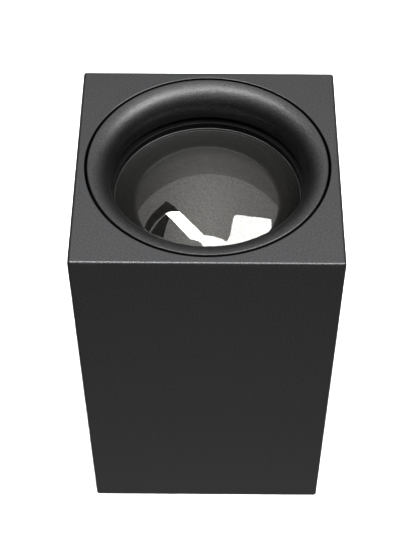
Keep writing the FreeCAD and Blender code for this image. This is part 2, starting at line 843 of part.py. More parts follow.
def closing_plate():
    half = cavity - d.plate_gap
    body = new_body("closing_plate", z=d.chamber_level)
    outline = sketch_on(body, "XY_Plane")
    draw_rectangle(outline, half * 2, half * 2)
    pad(body, outline, d.closing_thickness)
    soften(body, d.closing_round, is_upright)
    post_hole = sketch_on(body, "XY_Plane")
    draw_circle(post_hole, d.m5_radius + d.joint_gap, post_centre, post_centre)
    repeat_round(body, pocket(body, post_hole, reverse=True), 4)
    holes = sketch_on(body, "XY_Plane")
    draw_circle(holes, d.gland_thread + d.thread_gap, d.gland_x, d.gland_y)
    draw_circle(holes, d.vent_thread + d.thread_gap, 0, d.vent_y)
    draw_circle(holes, d.earth_radius + d.thread_gap, d.earth_x, d.earth_y)
    for side in (-1, 1):
        draw_circle(holes, d.m4_radius, bracket_screw_x * side, bracket_screw_y)
    for side in (-1, 1):
        draw_circle(holes, d.m3_radius, d.terminal_x + terminal_fixing * side, d.terminal_y)
    pocket(body, holes, reverse=True)
    length = d.closing_thickness + d.closing_gasket + d.closing_screw_grip
    screw = socket_screw(d.m5_radius.number, length.number)
    fastener_group("closing_plate_screws", screw, corner_places(post_centre), half_turn, d.chamber_level)


def driver_and_bracket():
    body = new_body("driver_bracket", y=bracket_face, z=closing_top)
    profile = sketch_on(body, "YZ_Plane", -d.bracket_length / 2)
    height = d.driver_lift + d.driver_height
    draw_outline(profile, [
        (0, 0),
        (d.bracket_foot, 0),
        (d.bracket_foot, d.bracket_sheet),
        (d.bracket_sheet, d.bracket_sheet),
        (d.bracket_sheet, height),
        (0, height),
    ])
    pad(body, profile, d.bracket_length)
    foot_holes = sketch_on(body, "XY_Plane")
    for side in (-1, 1):
        draw_circle(foot_holes, d.m4_radius + d.thread_gap, bracket_screw_x * side,
                    bracket_screw_y - bracket_face)
    pocket(body, foot_holes, d.bracket_sheet, reverse=True)
    web_holes = sketch_on(body, "XZ_Plane")
    for side in (-1, 1):
        draw_circle(web_holes, d.m3_radius + d.thread_gap, driver_screw_x * side,
                    driver_middle - closing_top)
    pocket(body, web_holes, d.bracket_sheet)
    screw = socket_screw(d.m4_radius.number, (d.bracket_sheet + d.closing_thickness).number)
    places = [((bracket_screw_x * side).number, bracket_screw_y.number, 0) for side in (-1, 1)]
    fastener_group("bracket_screws", screw, places, z=closing_top + d.bracket_sheet)
    led_driver()


def led_driver():
    body = new_body("led_driver", y=driver_front + d.driver_width / 2, z=driver_level)
    case = sketch_on(body, "XY_Plane")
    draw_rectangle(case, d.driver_length, d.driver_width)
    pad(body, case, d.driver_height)
    soften(body, d.driver_round, is_upright)
    recess = sketch_on(body, "XZ_Plane", d.driver_width / 2)
    recess_x = d.driver_length / 2 - d.driver_recess_inset
    recess_height = d.driver_height - d.driver_recess_margin * 2
    for side in (-1, 1):
        draw_rectangle(recess, d.driver_recess_width, recess_height, recess_x * side,
                       d.driver_height / 2)
    pocket(body, recess, d.driver_recess_depth)
    holes = sketch_on(body, "XZ_Plane", -d.driver_width / 2)
    for side in (-1, 1):
        draw_circle(holes, d.m3_radius, driver_screw_x * side, d.driver_height / 2)
    pocket(body, holes, d.driver_hole_depth, reverse=True)
    screw = socket_screw(d.m3_radius.number, (d.bracket_sheet + d.driver_screw_grip).number)
    back = (bracket_face + d.bracket_sheet).number
    places = [((driver_screw_x * side).number, back, driver_middle.number) for side in (-1, 1)]
    turn = (FreeCAD.Vector(1, 0, 0), -90)
    fastener_group("driver_screws", screw, places, turn)


def terminal_block():
    body = new_body("terminal_block", x=d.terminal_x, y=d.terminal_y, z=closing_top)
    step = d.terminal_height * d.terminal_step_share
    shoulder = d.terminal_width * d.terminal_shoulder_share
    profile = sketch_on(body, "YZ_Plane", -d.terminal_length / 2)
    back = d.terminal_width / 2
    draw_outline(profile, [
        (-back, 0),
        (back, 0),
        (back, step),
        (back - shoulder, step),
        (back - shoulder, d.terminal_height),
        (shoulder - back, d.terminal_height),
        (shoulder - back, step),
        (-back, step),
    ])
    pad(body, profile, d.terminal_length)
    clamp_holes = sketch_on(body, "XY_Plane", d.terminal_height)
    for pole in (-1, 0, 1):
        draw_circle(clamp_holes, d.m4_radius + d.thread_gap, d.terminal_pitch * pole)
    pocket(body, clamp_holes, step)
    entries = sketch_on(body, "XZ_Plane", back)
    for pole in (-1, 0, 1):
        draw_circle(entries, d.wire_radius * d.terminal_entry_width, d.terminal_pitch * pole,
                    terminal_entry)
    pocket(body, entries, d.terminal_width * d.terminal_entry_share)
    fixing_holes = sketch_on(body, "XY_Plane")
    for side in (-1, 1):
        draw_circle(fixing_holes, d.m3_radius + d.thread_gap, terminal_fixing * side)
    pocket(body, fixing_holes, reverse=True)
    heads = sketch_on(body, "XY_Plane", d.terminal_height)
    head_radius = d.m3_radius * d.head_share + d.thread_gap
    for side in (-1, 1):
        draw_circle(heads, head_radius, terminal_fixing * side)
    head_depth = d.terminal_height * d.terminal_head_share
    pocket(body, heads, head_depth)
    terminal_screws(step, head_depth)


def terminal_screws(clamp_depth, head_depth):
    length, slot_width = d.terminal_screw_length.number, d.terminal_slot.number
    radius = (d.m4_radius - d.thread_gap).number
    corner = FreeCAD.Vector(-radius, -slot_width / 2, length - slot_width)
    slot = Part.makeBox(radius * 2, slot_width, slot_width, corner)
    clamp = Part.makeCylinder(radius, length).cut(slot)
    places = [((d.terminal_x + d.terminal_pitch * pole).number, d.terminal_y.number, 0)
              for pole in (-1, 0, 1)]
    fastener_group("terminal_clamp_screws", clamp, places,
                   z=closing_top + d.terminal_height - clamp_depth)
    seat = d.terminal_height - head_depth
    fixing = socket_screw(d.m3_radius.number, (seat + d.closing_thickness).number)
    places = [((d.terminal_x + terminal_fixing * side).number, d.terminal_y.number, 0)
              for side in (-1, 1)]
    fastener_group("terminal_fixing_screws", fixing, places, z=closing_top + seat)


def cable_gland():
    x, y = d.gland_x, d.gland_y
    under = d.chamber_level - d.gland_washer_height - d.gland_flange
    body = new_body("gland_body", x=x, y=y, z=under)
    hexagon = sketch_on(body, "XY_Plane")
    draw_hexagon(hexagon, d.gland_flats)
    pad(body, hexagon, d.gland_flange)
    thread = sketch_on(body, "XY_Plane")
    draw_circle(thread, d.gland_thread)
    pad(body, thread, closing_top - under + d.gland_thread_spare)
    barrel = sketch_on(body, "XY_Plane")
    draw_circle(barrel, d.gland_thread - d.gland_step)
    pad(body, barrel, d.gland_reach, reverse=True)
    bore = sketch_on(body, "XY_Plane", -d.gland_reach)
    draw_circle(bore, d.gland_bore)
    pocket(body, bore, reverse=True)
    gland_seal(under)
    gland_nut(under)
    flat_washer("gland_washer", d.gland_thread, d.gland_thread + d.gland_washer_width,
                d.gland_washer_height, d.chamber_level - d.gland_washer_height, x, y)
    locknut = new_body("gland_locknut", x=x, y=y, z=closing_top)
    hexagon = sketch_on(locknut, "XY_Plane")
    draw_hexagon(hexagon, d.gland_flats + d.locknut_extra)
    draw_circle(hexagon, d.gland_thread + d.thread_gap)
    pad(locknut, hexagon, d.locknut_height)


def gland_seal(under):
    seal = new_body("gland_seal", x=d.gland_x, y=d.gland_y,
                    z=under - d.gland_reach - d.gland_seal_drop)
    sleeve = sketch_on(seal, "XY_Plane")
    draw_circle(sleeve, d.gland_bore - d.joint_gap / 2)
    draw_circle(sleeve, d.cable_radius)
    pad(seal, sleeve, d.gland_reach + d.gland_seal_drop - d.gland_seal_inset)
    lip = sketch_on(seal, "XY_Plane")
    draw_circle(lip, d.gland_thread - d.gland_seal_inset)
    draw_circle(lip, d.cable_radius)
    pad(seal, lip, d.gland_seal_lip)


def gland_nut(under):
    nut_height = d.gland_reach + d.gland_nut_spare
    nut = new_body("gland_nut", x=d.gland_x, y=d.gland_y, z=under - d.joint_gap - nut_height)
    hexagon = sketch_on(nut, "XY_Plane")
    draw_hexagon(hexagon, d.gland_flats)
    pad(nut, hexagon, nut_height)
    inside = sketch_on(nut, "XY_Plane", nut_height)
    draw_circle(inside, d.gland_thread - d.gland_step + d.thread_gap)
    pocket(nut, inside, nut_height - d.gland_step)
    mouth = sketch_on(nut, "XY_Plane")
    draw_circle(mouth, d.gland_bore)
    pocket(nut, mouth, reverse=True)


def flat_washer(label, inner, outer, thickness, z, x, y):
    washer = new_body(label, x=x, y=y, z=z)
    outline = sketch_on(washer, "XY_Plane")
    draw_circle(outline, outer)
    draw_circle(outline, as_size(inner) + d.thread_gap)
    pad(washer, outline, thickness)


def pressure_vent():
    seal_under = d.chamber_level - d.vent_seal_height
    vent = new_body("pressure_vent", y=d.vent_y, z=seal_under - d.vent_head)
    cap = sketch_on(vent, "XY_Plane")
    draw_circle(cap, d.vent_thread + d.vent_cap_width)
    pad(vent, cap, d.vent_head)
    soften(vent, d.vent_round, lambda edge: abs(edge.BoundBox.ZMax) < 1e-6)
    thread = sketch_on(vent, "XY_Plane")
    draw_circle(thread, d.vent_thread)
    pad(vent, thread, closing_top - seal_under + d.vent_head + d.vent_thread_spare)
    breather = sketch_on(vent, "XY_Plane", d.vent_floor)
    draw_circle(breather, d.vent_thread - d.vent_wall)
    pocket(vent, breather, reverse=True)
    slot = sketch_on(vent, "XY_Plane")
    draw_rectangle(slot, d.vent_slot, d.vent_thread * 2)
    pocket(vent, slot, d.vent_slot_depth, reverse=True)
    flat_washer("vent_seal", d.vent_thread, d.vent_thread + d.vent_seal_width,
                d.vent_seal_height, seal_under, 0, d.vent_y)


def earth_point():
    # Stud pressed up through the closing plate, ring terminal between washer and nut.
    stud = new_body("earth_stud", x=d.earth_x, y=d.earth_y, z=d.chamber_level - d.earth_head)
    head = sketch_on(stud, "XY_Plane")
    draw_circle(head, d.earth_radius * 2)
    pad(stud, head, d.earth_head)
    shank = sketch_on(stud, "XY_Plane")
    draw_circle(shank, d.earth_radius)
    pad(stud, shank, d.closing_thickness + d.earth_stud_length)
    flat_washer("earth_washer", d.earth_radius, d.earth_radius * 2, d.earth_washer_height,
                closing_top, d.earth_x, d.earth_y)
    washer_top = closing_top + d.earth_washer_height
    nut_level = washer_top + d.earth_tongue
    earth_ring_terminal(washer_top)
    nut = new_body("earth_nut", x=d.earth_x, y=d.earth_y, z=nut_level)
    hexagon = sketch_on(nut, "XY_Plane")
    draw_hexagon(hexagon, d.earth_nut_flats)
    draw_circle(hexagon, d.earth_radius + d.thread_gap)
    pad(nut, hexagon, d.earth_nut_height)


def earth_ring_terminal(level):
    ring = new_body("earth_ring_terminal", x=d.earth_x, y=d.earth_y, z=level)
    tongue = sketch_on(ring, "XY_Plane")
    draw_circle(tongue, d.earth_radius * 2)
    pad(ring, tongue, d.earth_tongue)
    barrel = sketch_on(ring, "YZ_Plane", -d.earth_barrel_reach)
    draw_circle(barrel, earth_barrel_radius, 0, earth_barrel_radius)
    pad(ring, barrel, d.earth_barrel_reach - d.earth_radius * 2)
    neck = sketch_on(ring, "XY_Plane")
    neck_x = -d.earth_barrel_reach / 2 - d.earth_neck_shift
    draw_rectangle(neck, d.earth_neck_length, d.earth_neck_width, neck_x)
    pad(ring, neck, d.earth_tongue)
    bore = sketch_on(ring, "XY_Plane")
    draw_circle(bore, d.earth_radius + d.thread_gap)
    pocket(ring, bore, d.earth_tongue, reverse=True)


def base_plate():
    half = cavity - d.plate_gap
    body = new_body("base_plate")
    outline = sketch_on(body, "XY_Plane")
    draw_rectangle(outline, half * 2, half * 2)
    pad(body, outline, d.base_thickness)
    soften(body, d.base_round, is_upright)
    anchor = sketch_on(body, "XY_Plane")
    draw_circle(anchor, d.anchor_radius, anchor_half, anchor_half)
    repeat_round(body, pocket(body, anchor, reverse=True), 4)
    opening = sketch_on(body, "XY_Plane")
    draw_circle(opening, d.cable_opening)
    pocket(body, opening, reverse=True)
    base_tabs(half)
    housing_set_screws(half)


def opposite_pair(label, solid, z):
    # The same piece on the +X and the -X side, as two solids in one node.
    other = solid.copy()
    other.rotate(FreeCAD.Vector(), FreeCAD.Vector(0, 0, 1), 180)
    group = doc.addObject("Part::Feature", label)
    group.Shape = Part.makeCompound([solid, other])
    group.Label = label
    group.Placement = FreeCAD.Placement(FreeCAD.Vector(0, 0, as_size(z).number), FreeCAD.Rotation())


def base_tabs(half):
    # Tapped tabs welded on the base plate, one inside each side wall.
    thickness, width = d.tab_thickness.number, d.tab_width.number
    inner = (half - d.tab_thickness).number
    corner = FreeCAD.Vector(inner, -width / 2, 0)
    tab = Part.makeBox(thickness, width, (d.tab_height - d.base_thickness).number, corner)
    middle = FreeCAD.Vector(inner, 0, (d.set_screw_level - d.base_thickness).number)
    hole = Part.makeCylinder(d.m6_radius.number, thickness, middle, FreeCAD.Vector(1, 0, 0))
    opposite_pair("base_tabs", tab.cut(hole), d.base_thickness)


def housing_set_screws(half):
    # Headless screws through both side walls into the base plate's tabs.
    radius = (d.m6_radius - d.thread_gap).number
    recess = half_width - d.set_screw_recess
    length = (recess - (half - d.tab_thickness - d.set_screw_spare)).number
    screw = Part.makeCylinder(radius, length, FreeCAD.Vector(0, 0, -length))
    ends = [edge for edge in screw.Edges if edge.BoundBox.ZLength < 1e-6]
    screw = screw.makeChamfer(d.set_screw_chamfer.number, ends)
    socket = hex_prism(radius * d.set_socket_share.number, d.set_socket_depth.number)
    socket.translate(FreeCAD.Vector(0, 0, -d.set_socket_depth.number))
    screw = screw.cut(socket)
    screw.rotate(FreeCAD.Vector(), FreeCAD.Vector(0, 1, 0), 90)
    screw.translate(FreeCAD.Vector(recess.number, 0, 0))
    opposite_pair("housing_set_screws", screw, d.set_screw_level)


def wire(label, route):
    # Insulated lead: straight runs joined by tangent arcs, square at both ends.
    points = [FreeCAD.Vector(*[as_size(n).number for n in point]) for point in route]
    radius = d.wire_radius.number
    edges = []
    start = points[0]
    tightest = None
    for before, corner, after in zip(points, points[1:], points[2:]):
        back, ahead = before - corner, after - corner
        turn = math.pi - back.getAngle(ahead)
        shorter = min(back.Length, ahead.Length)
        bend = 0.45 * shorter / math.tan(turn / 2)
        reach = bend * math.tan(turn / 2)
        first = corner + back.normalize() * reach
        last = corner + ahead.normalize() * reach
        inward = (back + ahead).normalize()
        crown = corner + inward * (bend / math.cos(turn / 2) - bend)
        edges.append(Part.LineSegment(start, first).toShape())
        edges.append(Part.Arc(first, crown, last).toShape())
        start = last
        tightest = bend if tightest is None else min(tightest, bend)
    edges.append(Part.LineSegment(start, points[-1]).toShape())
    path = Part.Wire(edges)
    normal = (points[1] - points[0]).normalize()
    section = Part.Wire(Part.Circle(points[0], normal, radius).toShape())
    tube = path.makePipeShell([section], True, True)
    share = tube.Volume / (math.pi * radius * radius * path.Length)
    print(f"{label}: length {path.Length:.1f}, tightest bend {tightest:.1f}, volume share {share:.4f}")
    lead = doc.addObject("Part::Feature", label)
    lead.Shape = tube
    lead.Label = label
    lead.Placement = FreeCAD.Placement()


def wires():
    block_back = d.terminal_y + d.terminal_width / 2
    entry = closing_top + terminal_entry
    driver_end = -d.driver_length / 2
    driver_y = driver_front + d.driver_width / 2
    live_level = driver_middle + 9
    neutral_level = driver_middle - 5
    live_x = d.terminal_x - d.terminal_pitch
    wire("live_wire", [
        (live_x, block_back, entry),
        (live_x, block_back + 7, entry),
        (live_x - 7, block_back + 10.5, entry - 0.3),
        (live_x - 21, block_back + 9.5, entry),
        (live_x - 41, block_back + 9, entry + 2),
        (driver_end - 4, driver_y - 16, entry + 9),
        (driver_end - 13, driver_y - 12, entry + 20),
        (driver_end - 14.5, driver_y - 6, live_level - 14),
        (driver_end - 12.5, driver_y - 1, live_level - 5),
        (driver_end - 7.5, driver_y, live_level),
        (driver_end, driver_y, live_level),
    ])
    neutral_x = d.terminal_x
    wire("neutral_wire", [
        (neutral_x, block_back, entry),
        (neutral_x, block_back + 7, entry),
        (neutral_x - 6, block_back + 13.5, entry - 0.3),
        (neutral_x - 20, block_back + 14, entry),
        (neutral_x - 40, block_back + 13.5, entry + 1),
        (driver_end, driver_y - 13, entry + 6),
        (driver_end - 8.5, driver_y - 9, entry + 15),
        (driver_end - 11, driver_y - 4, neutral_level - 12),
        (driver_end - 9.5, driver_y - 1, neutral_level - 4),
        (driver_end - 6, driver_y, neutral_level),
        (driver_end, driver_y, neutral_level),
    ])
    earth_start = d.terminal_x + d.terminal_pitch
    barrel_end = d.earth_x - d.earth_barrel_reach
    barrel_level = closing_top + d.earth_washer_height + earth_barrel_radius
    wire("earth_wire", [
        (earth_start, block_back, entry),
        (earth_start, block_back + 7, entry),
        (earth_start + 5.5, block_back + 11, entry - 0.7),
        (earth_start + 13, block_back + 9.5, entry - 2),
        (barrel_end - 5.5, d.earth_y, barrel_level),
        (barrel_end, d.earth_y, barrel_level),
    ])
    led_wires(-driver_end, driver_y)


def led_wires(driver_end, driver_y):
    board_level = sink_top + d.holder_height / 2
    outside = sink_width / 2 + 8
    for label, side in (("led_positive_wire", -1), ("led_negative_wire", 1)):
        lane = driver_y + 5.0 * side
        wire(label, [
            (driver_end, lane, driver_middle),
            (driver_end + 9, lane, driver_middle),
            (outside, lane + 1, driver_middle + 13),
            (outside + 1, lane + 2 * side, driver_middle + 32),
            (outside, lane, driver_middle + 52),
            (outside + 1, lane - side, board_level - 19),
            (outside - 3, lane, board_level + 3),
            (outside - 20, lane + 1, board_level + 4),
            (d.holder_radius + 9, lane, board_level),
            (led_wire_end(lane), lane, board_level),
        ])


def led_wire_end(lane):
    # The round holder's edge in line with the lead, with room for the lead's width.
    return root(d.holder_radius * d.holder_radius - lane * lane) + d.joint_gap + d.holder_board_gap


def check_and_write():
    doc.recompute()
    failed = [item.Label for item in doc.Objects if {"Invalid", "Error"} & set(item.State)]
    if failed:
        raise RuntimeError(f"failed objects: {failed}")
    sub_parts = [item for item in doc.Objects if item.TypeId in ("PartDesign::Body", "Part::Feature")
                 and item.getParentGeoFeatureGroup() is None]
    for item in sub_parts:
        if item.Shape.isNull() or not item.Shape.isValid():
            raise RuntimeError(f"{item.Label} has no valid shape")
    os.makedirs("parts", exist_ok=True)
    for item in sub_parts:
        item.Shape.exportStep(f"parts/{item.Label}.step")
        print(f"{item.Label}: {len(item.Shape.Solids)} solid(s), {item.Shape.Volume / 1000:.2f} cm3")
    print(f"{len(sub_parts)} sub-parts")


housing()
trim_ring()
lens_clamp_ring()
lens()
gaskets()
clamp_ring_screws()
reflector()
light_engine()
heat_sink()
closing_plate()
driver_and_bracket()
terminal_block()
cable_gland()
pressure_vent()
earth_point()
base_plate()
wires()
check_and_write()
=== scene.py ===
import math
import bmesh
import bpy
from mathutils import Matrix, Vector


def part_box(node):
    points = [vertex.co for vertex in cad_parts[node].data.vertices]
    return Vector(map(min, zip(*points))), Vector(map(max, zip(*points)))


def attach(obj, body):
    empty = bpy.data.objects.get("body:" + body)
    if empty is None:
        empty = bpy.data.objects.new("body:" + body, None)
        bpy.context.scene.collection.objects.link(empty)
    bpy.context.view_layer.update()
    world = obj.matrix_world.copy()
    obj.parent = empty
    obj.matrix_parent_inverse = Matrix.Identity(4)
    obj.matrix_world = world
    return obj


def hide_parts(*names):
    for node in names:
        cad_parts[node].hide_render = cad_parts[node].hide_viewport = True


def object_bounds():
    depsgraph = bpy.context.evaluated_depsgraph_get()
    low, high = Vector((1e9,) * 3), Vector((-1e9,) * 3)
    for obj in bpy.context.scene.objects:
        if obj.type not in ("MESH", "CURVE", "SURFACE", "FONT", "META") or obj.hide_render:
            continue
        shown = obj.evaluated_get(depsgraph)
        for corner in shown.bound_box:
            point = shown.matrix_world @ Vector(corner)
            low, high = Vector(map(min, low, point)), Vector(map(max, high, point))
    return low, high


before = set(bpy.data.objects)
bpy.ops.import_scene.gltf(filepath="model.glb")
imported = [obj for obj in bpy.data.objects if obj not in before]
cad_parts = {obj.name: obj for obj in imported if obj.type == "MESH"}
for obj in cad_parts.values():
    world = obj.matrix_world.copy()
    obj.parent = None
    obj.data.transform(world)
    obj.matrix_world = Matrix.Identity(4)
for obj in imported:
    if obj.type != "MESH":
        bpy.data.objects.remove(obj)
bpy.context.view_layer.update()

lowCorner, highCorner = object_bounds()
bodyWidth = highCorner.x - lowCorner.x
topLevel = highCorner.z
scene = bpy.context.scene
print("frame loaded:", len(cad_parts), "nodes")


camera = {
    "place": (0.0201, -3.5093, 5.2256),   # in widths of the housing, from the middle of its base
    "elevation": 54.02,                   # degrees it looks down
    "yaw": -0.28,
    "roll": 0.15,
    "lens": 86.5,
    "shift": 0.149,
    "reach": 50,                          # metres
}


def placeCamera(view):
    data = bpy.data.cameras.new("camera")
    data.lens = view["lens"]
    data.shift_y = view["shift"]
    data.clip_end = view["reach"]
    down, yaw, roll = (math.radians(view[key]) for key in ("elevation", "yaw", "roll"))
    forward = Vector((math.sin(yaw) * math.cos(down), math.cos(yaw) * math.cos(down), -math.sin(down)))
    side = Vector((math.cos(yaw), -math.sin(yaw), 0))
    turn = Matrix.Rotation(roll, 3, -forward)
    side = turn @ side
    up = side.cross(forward)
    item = bpy.data.objects.new("camera", data)
    item.matrix_world = Matrix((side, up, -forward)).transposed().to_4x4()
    item.location = Vector(view["place"]) * bodyWidth
    scene.collection.objects.link(item)
    scene.camera = item


placeCamera(camera)


studio = {
    "lightHeight": 1.4,           # above the top face
    "rightRadiance": 25.0,
    "frontRadiance": 28.0,
    "leftRadiance": 46.0,
    "panelRadiance": 0.95,
    "panelWidth": 4.4,
    "panelDepth": 2.9,
    "panelRight": 0.15,
    "panelGap": 0.03,             # above the softboxes
    "flagGap": 0.002,             # below the softboxes
    "softboxColor": 0.5,
    "flagColor": 0.002,
    "clothRoughness": 0.9,
    "skyRadiance": 3.2,           # straight up
    "floorColor": 0.82,
    "floorHalf": 6.0,
    "floorGap": 0.0002,           # below the base plate
    "backdropHeight": 8.0,
    "backdropGlow": 1.0,
}
# Share of the sky's radiance by height, and by how far to the left or right it lies.
skyByHeight = [(-1.0, 0.14), (-0.7, 0.14), (-0.35, 0.30), (-0.1, 0.30), (0.0, 0.07), (0.21, 0.10),
               (0.34, 0.16), (0.47, 0.30), (0.57, 0.36), (0.68, 0.48), (0.85, 0.71), (1.0, 0.96)]
skyBySide = [(-1.0, 0.35), (-0.6, 0.46), (-0.4, 0.66), (-0.25, 0.85), (0.0, 1.0), (0.25, 0.87),
             (0.4, 0.78), (0.6, 0.74), (1.0, 0.6)]
# Corners of the softboxes and flags, seen from above, at the light height.
rightSoftbox = [(0.35, -0.28), (0.40, -0.14), (0.44, 0.20), (0.46, 0.26), (0.51, 0.29), (0.78, 0.33),
                (1.34, 0.50), (1.40, -0.12), (1.00, -0.42), (0.42, -0.50)]
frontSoftbox = [(-0.07, -0.17), (0.09, -0.19), (0.27, -0.24), (0.35, -0.28), (0.42, -0.50),
                (-0.05, -0.50)]
leftSoftbox = [(-0.79, 0.42), (-0.73, 0.46), (-0.66, 0.46), (-0.57, 0.42), (-0.50, 0.36), (-0.29, 0.09),
               (-0.12, -0.11), (-0.07, -0.17), (-0.06, -0.40), (-0.12, -0.31), (-0.18, -0.27),
               (-0.31, -0.23), (-0.50, 0.02)]
outerFlag = [(-0.77, 0.70), (-0.62, 0.53), (-0.49, 0.35), (-0.68, 0.40), (-0.79, 0.38), (-1.01, 0.27),
             (-1.21, 0.10), (-1.35, 0.26), (-1.15, 0.48), (-0.88, 0.63)]
innerFlag = [(-0.77, 0.36), (-0.69, 0.25), (-0.77, 0.08), (-0.85, -0.13), (-1.17, 0.06), (-0.98, 0.22)]


def ramp(nodes, stops):
    # A colour ramp over a value that runs from -1 to 1.
    node = nodes.new("ShaderNodeValToRGB")
    node.color_ramp.elements.remove(node.color_ramp.elements[1])
    for index, (place, share) in enumerate(stops):
        position = (place + 1) / 2
        stop = node.color_ramp.elements[0] if index == 0 else node.color_ramp.elements.new(position)
        stop.position = position
        stop.color = (share, share, share, 1)
    return node


def lightRoom():
    world = bpy.data.worlds.new("room")
    scene.world = world
    world.use_nodes = True
    nodes, links = world.node_tree.nodes, world.node_tree.links
    background = nodes["Background"]
    place = nodes.new("ShaderNodeTexCoord")
    split = nodes.new("ShaderNodeSeparateXYZ")
    links.new(place.outputs["Generated"], split.inputs[0])
    product = nodes.new("ShaderNodeMix")
    product.data_type = "RGBA"
    product.blend_type = "MULTIPLY"
    product.inputs["Factor"].default_value = 1
    for axis, stops, socket in (("Z", skyByHeight, "A"), ("X", skyBySide, "B")):
        spread = nodes.new("ShaderNodeMapRange")
        spread.inputs["From Min"].default_value = -1
        links.new(split.outputs[axis], spread.inputs["Value"])
        shade = ramp(nodes, stops)
        links.new(spread.outputs["Result"], shade.inputs["Fac"])
        links.new(shade.outputs["Color"], product.inputs[socket])
    background.inputs["Strength"].default_value = studio["skyRadiance"]
    links.new(product.outputs["Result"], background.inputs["Color"])


def stageSheet(name, corners, level, material):
    # It faces down if its corners run clockwise from above, as the softboxes' and flags' do, and up if
    # they run the other way, as the floor's do.
    mesh = bpy.data.meshes.new(name)
    bm = bmesh.new()
    bm.faces.new([bm.verts.new((x, y, level)) for x, y in corners])
    bm.to_mesh(mesh)
    bm.free()
    item = bpy.data.objects.new(name, mesh)
    item.data.materials.append(material)
    scene.collection.objects.link(item)
    return item


def clothMaterial(name, shade, glow=0.0):
    material = bpy.data.materials.new(name)
    material.use_nodes = True
    shader = material.node_tree.nodes["Principled BSDF"]
    shader.inputs["Base Color"].default_value = (shade, shade, shade, 1)
    shader.inputs["Roughness"].default_value = studio["clothRoughness"]
    shader.inputs["Emission Color"].default_value = (1, 1, 1, 1)
    shader.inputs["Emission Strength"].default_value = glow
    return material


def hangLights():
    level = topLevel + studio["lightHeight"]
    black = clothMaterial("flagCloth", studio["flagColor"])
    for side, corners in (("right", rightSoftbox), ("front", frontSoftbox), ("left", leftSoftbox)):
        white = clothMaterial(side + "Cloth", studio["softboxColor"], studio[side + "Radiance"])
        stageSheet(side + "Softbox", corners, level, white)
    for name, corners in (("outerFlag", outerFlag), ("innerFlag", innerFlag)):
        stageSheet(name, corners, level - studio["flagGap"], black)
    data = bpy.data.lights.new("overheadPanel", "AREA")
    data.shape = "ELLIPSE"
    data.size, data.size_y = studio["panelWidth"], studio["panelDepth"]
    area = math.pi / 4 * data.size * data.size_y
    data.energy = studio["panelRadiance"] * math.pi * area       # the watts that give that radiance
    panel = bpy.data.objects.new("overheadPanel", data)
    panel.location = (studio["panelRight"], 0, level + studio["panelGap"])
    scene.collection.objects.link(panel)


def layFloor():
    half = studio["floorHalf"]
    corners = [(-half, -half), (half, -half), (half, half), (-half, half)]
    level = lowCorner.z - studio["floorGap"]
    floor = stageSheet("floor", corners, level, clothMaterial("floorPaper", studio["floorColor"]))
    floor.visible_diffuse = False
    floor.visible_glossy = False
    return corners, level


def standBackdrop(corners, level):
    # White walls round the floor that only the camera sees.
    mesh = bpy.data.meshes.new("backdrop")
    bm = bmesh.new()
    feet = [bm.verts.new((x, y, level)) for x, y in corners]
    tops = [bm.verts.new((x, y, level + studio["backdropHeight"])) for x, y in corners]
    for index in range(len(corners)):
        following = (index + 1) % len(corners)
        bm.faces.new((feet[index], tops[index], tops[following], feet[following]))
    bm.to_mesh(mesh)
    bm.free()
    walls = bpy.data.objects.new("backdrop", mesh)
    mesh.materials.append(clothMaterial("backdropPaper", studio["floorColor"], studio["backdropGlow"]))
    scene.collection.objects.link(walls)
    for ray in ("diffuse", "glossy", "transmission", "shadow"):
        setattr(walls, "visible_" + ray, False)


lightRoom()
hangLights()
standBackdrop(*layFloor())
scene.view_settings.view_transform = "Standard"
scene.view_settings.look = "None"
print("studio ready")


pattern = {
    "cloudDetail": 4,
    "grainDetail": 3,
    "toneRange": (0.12, 0.38),    # of the cloud times the grain, from the first colour to the second
    "glintRange": (0.3, 0.7),     # of the grain, from the dullest fleck to the brightest
    "ior": 1.5,
}


